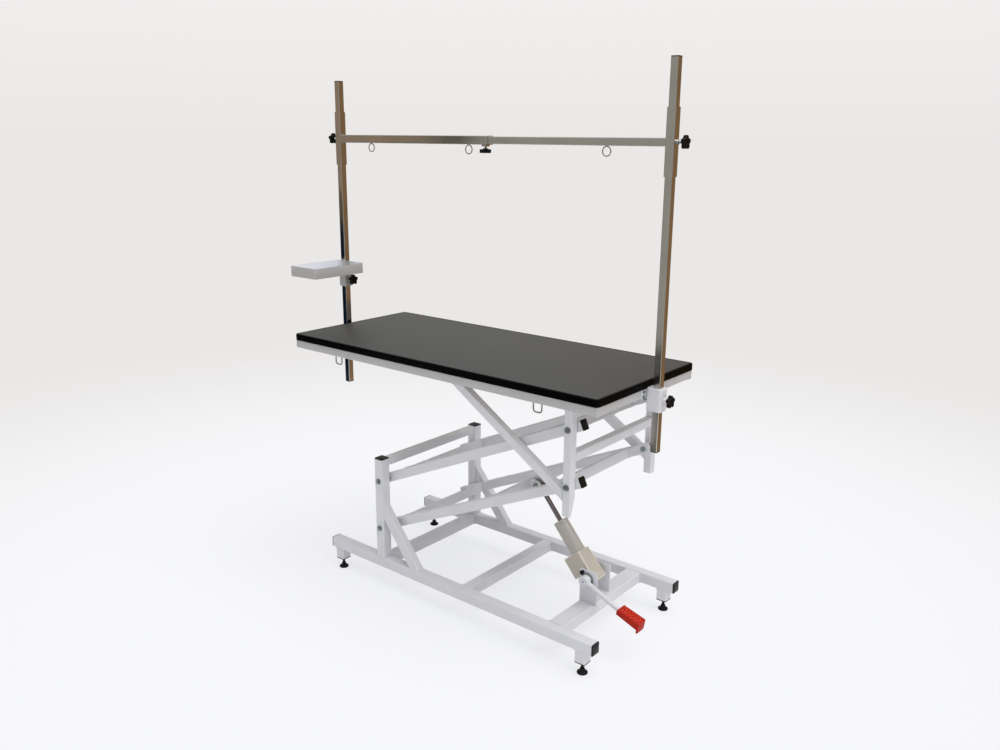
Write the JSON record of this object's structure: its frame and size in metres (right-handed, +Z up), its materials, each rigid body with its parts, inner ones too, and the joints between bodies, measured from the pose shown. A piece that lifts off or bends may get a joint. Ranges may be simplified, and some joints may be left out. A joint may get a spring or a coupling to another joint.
{
  "type": "grooming table",
  "caption": "Pet grooming table on a foot-pumped parallelogram lift, with a rubber-topped table, posts, a telescoping leash bar and a tool tray.",
  "frame": {"origin": "on the floor under the middle of the table top", "axes": "+X along the table towards the pedal, -Y towards the groomer's side with the pedal lever, +Z up"},
  "size_m": [1.59, 0.6, 1.913],
  "materials": {
    "white_enamel": "white powder coat, semi-gloss",
    "polished_stainless": "polished stainless tube with fine drawn lines",
    "steel_wire": "bright drawn wire",
    "zinc_plate": "bright zinc plate",
    "black_oxide": "black oxide, oiled",
    "black_cap": "moulded, satin",
    "black_foot": "moulded, satin",
    "black_knob": "moulded, fine texture",
    "board": "plain sealed plywood",
    "table_rubber": "dark grey, fine pebbled",
    "barrel_enamel": "warm grey enamel",
    "block_enamel": "warm grey cast block, enamelled",
    "ground_rod": "ground hard chrome",
    "red_pedal": "red moulded plastic, satin",
    "tray_enamel": "light grey enamel"
  },
  "bodies": {
    "base": {"base_rails": "white_enamel", "foot_stubs": "white_enamel", "uprights": "white_enamel", "upright_cross_tube": "white_enamel", "base_braces": "white_enamel", "base_cross_members": "white_enamel", "pump_cross_member": "white_enamel", "pump_plates": "white_enamel", "base_end_caps": "black_cap", "base_pivot_bolts": "zinc_plate", "base_pivot_spacers": "zinc_plate", "pump_fasteners": "black_oxide"},
    "front_left_foot": {"front_left_foot": "black_foot"},
    "front_right_foot": {"front_right_foot": "black_foot"},
    "rear_left_foot": {"rear_left_foot": "black_foot"},
    "rear_right_foot": {"rear_right_foot": "black_foot"},
    "lower_arms": {"front_lower_arm": "white_enamel", "rear_lower_arm": "white_enamel", "lower_arm_cross_tubes": "white_enamel", "rod_bracket": "white_enamel", "rod_pin": "zinc_plate", "lower_arm_caps": "black_cap"},
    "upper_arms": {"front_upper_arm": "white_enamel", "rear_upper_arm": "white_enamel", "upper_arm_cross_tubes": "white_enamel", "upper_arm_caps": "black_cap"},
    "table": {"frame_long_tubes": "white_enamel", "frame_cross_tubes": "white_enamel", "hangers": "white_enamel", "hanger_cross_tube": "white_enamel", "table_braces": "white_enamel", "tabletop_board": "board", "rubber_mat": "table_rubber", "edge_trim": "black_cap", "leash_loops": "steel_wire", "post_brackets": "white_enamel", "bracket_bolts": "zinc_plate", "hanger_pivot_bolts": "zinc_plate"},
    "pump": {"pump_barrel": "barrel_enamel", "pump_block": "block_enamel"},
    "rod": {"piston_rod": "ground_rod"},
    "pedal": {"pedal_lever": "white_enamel", "pedal_pad": "red_pedal"},
    "left_post": {"left_post": "polished_stainless", "left_post_caps": "black_cap"},
    "right_post": {"right_post": "polished_stainless", "right_post_caps": "black_cap"},
    "carriage": {"bar_sleeves": "polished_stainless", "bar_outer_tube": "polished_stainless", "bar_inner_tube": "polished_stainless", "bar_rings": "steel_wire", "bar_clamp_block": "polished_stainless"},
    "tray": {"tray": "tray_enamel", "tray_collar": "tray_enamel"},
    "left_bracket_knob": {"left_bracket_knob": "black_knob"},
    "right_bracket_knob": {"right_bracket_knob": "black_knob"},
    "left_sleeve_knob": {"left_sleeve_knob": "black_knob"},
    "right_sleeve_knob": {"right_sleeve_knob": "black_knob"},
    "bar_knob": {"bar_knob": "black_knob"},
    "tray_knob": {"tray_knob": "black_knob"}
  },
  "joints": [
    {"name": "lift", "type": "hinge", "parent": "base", "child": "lower_arms", "pos_m": [-0.26394, 0, 0.244], "axis": [0, -1, 0], "range_deg": [-13, 2]},
    {"name": "upper_arm_swing", "type": "hinge", "parent": "base", "child": "upper_arms", "pos_m": [-0.26394, 0, 0.434], "axis": [0, -1, 0], "range_deg": [-13.5, 2.5]},
    {"name": "table_level", "type": "hinge", "parent": "lower_arms", "child": "table", "pos_m": [0.5735, 0, 0.6225], "axis": [0, -1, 0], "range_deg": [-2.5, 13.5]},
    {"name": "pump_tilt", "type": "hinge", "parent": "base", "child": "pump", "pos_m": [0.52106, -0.008, 0.193], "axis": [0, -1, 0], "range_deg": [-2, 10.7]},
    {"name": "rod_stroke", "type": "slide", "parent": "pump", "child": "rod", "axis": [-0.6443, 0, 0.7648], "range_m": [-0.1205, 0.0195]},
    {"name": "pedal_press", "type": "hinge", "parent": "base", "child": "pedal", "pos_m": [0.53706, -0.085, 0.216], "axis": [0, -1, 0], "range_deg": [-25, 8], "stiffness_Nm_per_rad": 1.5},
    {"name": "left_post_height", "type": "slide", "parent": "table", "child": "left_post", "axis": [0, 0, 1], "range_m": [-0.05, 0.16]},
    {"name": "right_post_height", "type": "slide", "parent": "table", "child": "right_post", "axis": [0, 0, 1], "range_m": [-0.1, 0.135]},
    {"name": "bar_height", "type": "slide", "parent": "left_post", "child": "carriage", "axis": [0, 0, 1], "range_m": [-0.35, 0.11]},
    {"name": "tray_height", "type": "slide", "parent": "left_post", "child": "tray", "axis": [0, 0, 1], "range_m": [-0.1, 0.35]},
    {"name": "left_bracket_knob_turn", "type": "hinge", "parent": "table", "child": "left_bracket_knob", "pos_m": [-0.732, 0, 0.883], "axis": [-1, 0, 0], "continuous": true},
    {"name": "right_bracket_knob_turn", "type": "hinge", "parent": "table", "child": "right_bracket_knob", "pos_m": [0.732, 0, 0.883], "axis": [1, 0, 0], "continuous": true},
    {"name": "left_sleeve_knob_turn", "type": "hinge", "parent": "carriage", "child": "left_sleeve_knob", "pos_m": [-0.732, 0, 1.672], "axis": [-1, 0, 0], "continuous": true},
    {"name": "right_sleeve_knob_turn", "type": "hinge", "parent": "carriage", "child": "right_sleeve_knob", "pos_m": [0.732, 0, 1.672], "axis": [1, 0, 0], "continuous": true},
    {"name": "bar_knob_turn", "type": "hinge", "parent": "carriage", "child": "bar_knob", "pos_m": [0.015, 0, 1.64], "axis": [0, 0, -1], "continuous": true},
    {"name": "tray_knob_turn", "type": "hinge", "parent": "tray", "child": "tray_knob", "pos_m": [-0.732, 0, 1.117], "axis": [1, 0, 0], "continuous": true},
    {"name": "front_left_foot_turn", "type": "hinge", "parent": "base", "child": "front_left_foot", "pos_m": [-0.50294, -0.265, 0], "axis": [0, 0, 1], "continuous": true},
    {"name": "front_right_foot_turn", "type": "hinge", "parent": "base", "child": "front_right_foot", "pos_m": [0.65606, -0.265, 0], "axis": [0, 0, 1], "continuous": true},
    {"name": "rear_left_foot_turn", "type": "hinge", "parent": "base", "child": "rear_left_foot", "pos_m": [-0.50294, 0.265, 0], "axis": [0, 0, 1], "continuous": true},
    {"name": "rear_right_foot_turn", "type": "hinge", "parent": "base", "child": "rear_right_foot", "pos_m": [0.65606, 0.265, 0], "axis": [0, 0, 1], "continuous": true}
  ],
  "couplings": [
    {"joint": "upper_arm_swing", "follows": "lift", "ratio": 1},
    {"joint": "table_level", "follows": "lift", "ratio": -1},
    {"joint": "pump_tilt", "follows": "lift", "ratio": -0.795},
    {"joint": "rod_stroke", "follows": "lift", "m_per_rad": 0.525}
  ]
}
